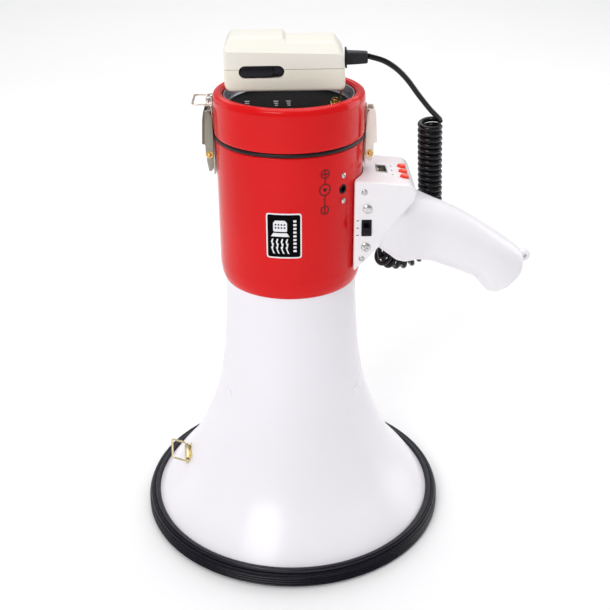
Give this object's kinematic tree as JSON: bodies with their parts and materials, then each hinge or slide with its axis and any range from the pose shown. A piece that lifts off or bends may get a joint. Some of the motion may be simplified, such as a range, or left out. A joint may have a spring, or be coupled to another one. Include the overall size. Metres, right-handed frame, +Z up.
{
  "type": "handheld megaphone",
  "caption": "Handheld megaphone standing on its bell, with pistol handle, latched rear cap, fist microphone on a coiled lead and strap rings.",
  "frame": {"origin": "middle of the footprint of the megaphone without its lead, on the plane of the bell's rim", "axes": "+Z up along the bell's axis towards the rear cap, +X towards the handle, +Y away from the side with the power socket"},
  "size_m": [0.2892, 0.23, 0.3696],
  "materials": {
    "white_horn": "gloss",
    "rim_rubber": "matte ribbed rubber",
    "red_shell": "gloss",
    "seal_rubber": "matte",
    "handle_white": "gloss",
    "black_plastic": "fine moulded texture",
    "ivory_plastic": "satin moulded",
    "panel_grey": "satin",
    "zinc_plate": "worn zinc plate",
    "chrome": "polished",
    "brass": "polished",
    "circuit_board": "solder mask",
    "button_orange": "satin",
    "cell_jacket": "printed jacket",
    "cord_black": "gloss vinyl"
  },
  "bodies": {
    "case": {"horn_bell": "white_horn", "throat_tube": "white_horn", "reflector_cup": "white_horn", "rim_guard": "rim_rubber", "body_shell": "red_shell", "body_gasket": "seal_rubber", "cord_gland": "seal_rubber", "handle_front_shell": "handle_white", "handle_rear_shell": "handle_white", "battery_holder": "black_plastic", "dc_jack": "black_plastic", "switch_frame": "black_plastic", "driver_magnet": "black_plastic", "driver_diaphragm": "panel_grey", "latch_base_left": "zinc_plate", "latch_base_right": "zinc_plate", "driver_plate": "zinc_plate", "usb_socket": "chrome", "switch_screw_upper": "chrome", "switch_screw_lower": "chrome", "shell_screw_upper": "chrome", "shell_screw_lower": "chrome", "dc_jack_screw_upper": "chrome", "dc_jack_screw_lower": "chrome", "latch_pin_left": "brass", "latch_pin_right": "brass", "strap_bracket_lower": "brass", "amplifier_board": "circuit_board", "control_board": "circuit_board", "battery_cell_1": "cell_jacket", "battery_cell_2": "cell_jacket", "battery_cell_3": "cell_jacket", "battery_cell_4": "cell_jacket", "battery_cell_5": "cell_jacket", "battery_cell_6": "cell_jacket", "cord_coil": "cord_black", "cord_tail": "cord_black"},
    "lid": {"lid_cap": "red_shell", "lid_panel": "panel_grey", "mic_hook": "chrome", "keeper_left": "chrome", "keeper_right": "chrome", "strap_bracket_upper": "chrome", "cord_lead": "cord_black"},
    "latch_left": {"latch_lever_left": "zinc_plate"},
    "latch_right": {"latch_lever_right": "zinc_plate"},
    "claw_left": {"latch_claw_left": "chrome"},
    "claw_right": {"latch_claw_right": "chrome"},
    "mic": {"mic_lower_case": "ivory_plastic", "mic_upper_case": "ivory_plastic", "mic_capsule": "black_plastic", "mic_boot": "seal_rubber"},
    "talk_carriage": {"talk_slider": "black_plastic"},
    "talk_key": {"talk_bar": "black_plastic"},
    "mode_switch": {"mode_switch_knob": "black_plastic"},
    "push_button_1": {"button_1": "button_orange"},
    "push_button_2": {"button_2": "button_orange"},
    "push_button_3": {"button_3": "button_orange"},
    "ring_upper": {"strap_ring_upper": "chrome"},
    "ring_lower": {"strap_ring_lower": "brass"}
  },
  "joints": [
    {"name": "lid_lift", "type": "slide", "parent": "case", "child": "lid", "axis": [0, 0, 1], "range_m": [0, 0.024]},
    {"name": "latch_left_swing", "type": "hinge", "parent": "case", "child": "latch_left", "pos_m": [-0.0848, 0, 0.288], "axis": [0, -1, 0], "range_deg": [0, 95]},
    {"name": "latch_right_swing", "type": "hinge", "parent": "case", "child": "latch_right", "pos_m": [0.0256, 0, 0.288], "axis": [0, 1, 0], "range_deg": [0, 95]},
    {"name": "claw_left_tilt", "type": "hinge", "parent": "latch_left", "child": "claw_left", "pos_m": [-0.0865, 0, 0.292], "axis": [0, 1, 0], "range_deg": [0, 12]},
    {"name": "claw_right_tilt", "type": "hinge", "parent": "latch_right", "child": "claw_right", "pos_m": [0.0273, 0, 0.292], "axis": [0, -1, 0], "range_deg": [0, 12]},
    {"name": "mic_lift", "type": "slide", "parent": "lid", "child": "mic", "axis": [0, 0, 1], "range_m": [0, 0.05]},
    {"name": "talk_lock_slide", "type": "slide", "parent": "mic", "child": "talk_carriage", "axis": [0.9998, 0, 0.0175], "range_m": [0, 0.0055]},
    {"name": "talk_press", "type": "slide", "parent": "talk_carriage", "child": "talk_key", "axis": [0, 1, 0], "range_m": [0, 0.0011], "stiffness_N_per_m": 900},
    {"name": "mode_switch_slide", "type": "slide", "parent": "case", "child": "mode_switch", "axis": [0, 0, 1], "range_m": [-0.0022, 0.0022]},
    {"name": "button_1_press", "type": "slide", "parent": "case", "child": "push_button_1", "axis": [-0.0998, 0, -0.995], "range_m": [0, 0.001], "stiffness_N_per_m": 700},
    {"name": "button_2_press", "type": "slide", "parent": "case", "child": "push_button_2", "axis": [-0.0998, 0, -0.995], "range_m": [0, 0.001], "stiffness_N_per_m": 700},
    {"name": "button_3_press", "type": "slide", "parent": "case", "child": "push_button_3", "axis": [-0.0998, 0, -0.995], "range_m": [0, 0.001], "stiffness_N_per_m": 700},
    {"name": "ring_upper_swing", "type": "hinge", "parent": "lid", "child": "ring_upper", "pos_m": [-0.0842, 0, 0.3252], "axis": [0, 1, 0], "range_deg": [-40, 80]},
    {"name": "ring_lower_swing", "type": "hinge", "parent": "case", "child": "ring_lower", "pos_m": [-0.1124, -0.00998, 0.0436], "axis": [-0.1197, 0.9928, 0], "range_deg": [-60, 70]}
  ],
  "couplings": [
    {"joint": "latch_left_swing", "follows": "lid_lift", "rad_per_m": 69},
    {"joint": "latch_right_swing", "follows": "lid_lift", "rad_per_m": 69},
    {"joint": "claw_left_tilt", "follows": "lid_lift", "rad_per_m": 7},
    {"joint": "claw_right_tilt", "follows": "lid_lift", "rad_per_m": 7}
  ]
}
